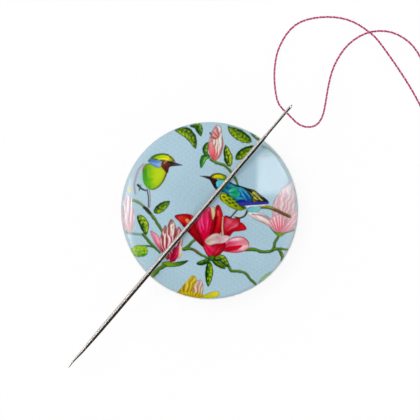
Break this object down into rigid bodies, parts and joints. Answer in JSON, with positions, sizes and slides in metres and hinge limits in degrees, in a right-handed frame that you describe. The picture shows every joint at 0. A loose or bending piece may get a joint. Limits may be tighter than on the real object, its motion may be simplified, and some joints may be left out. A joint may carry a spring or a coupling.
{
  "type": "needle minder",
  "caption": "Round magnetic needle minder with a printed floral face and a loose keeper magnet, holding a threaded sewing needle.",
  "frame": {"origin": "centre of the keeper magnet's underside, on the surface the minder lies on", "axes": "+Z up through the centre of the dome; +X to the right and +Y up as the printed picture is read"},
  "size_m": [0.0576, 0.0498, 0.0089],
  "materials": {
    "nickel_plating": "bright nickel plating",
    "clear_epoxy": "clear, slightly yellow",
    "tinplate": "bright tinplate",
    "print": "printed in full colour",
    "film": "clear gloss",
    "needle_steel": "polished, nickel plated",
    "cotton_thread": "two strands, crimson and white, twisted"
  },
  "bodies": {
    "badge": {"fixed_magnet": "nickel_plating", "magnet_glue": "clear_epoxy", "back_plate": "tinplate", "front_shell": "tinplate", "printed_paper": "print", "clear_film": "film"},
    "keeper": {"keeper_magnet": "nickel_plating"},
    "threaded_needle": {"needle": "needle_steel", "thread_long": "cotton_thread", "thread_tail": "cotton_thread", "thread_coil": "cotton_thread"}
  },
  "joints": [
    {"name": "keeper_slide", "type": "slide", "parent": "badge", "child": "keeper", "axis": [1, 0, 0], "range_m": [-0.005, 0.005], "stiffness_N_per_m": 400},
    {"name": "needle_swivel", "type": "hinge", "parent": "badge", "child": "threaded_needle", "pos_m": [0, 0, 0.0082], "axis": [0, 0, 1], "continuous": true}
  ]
}
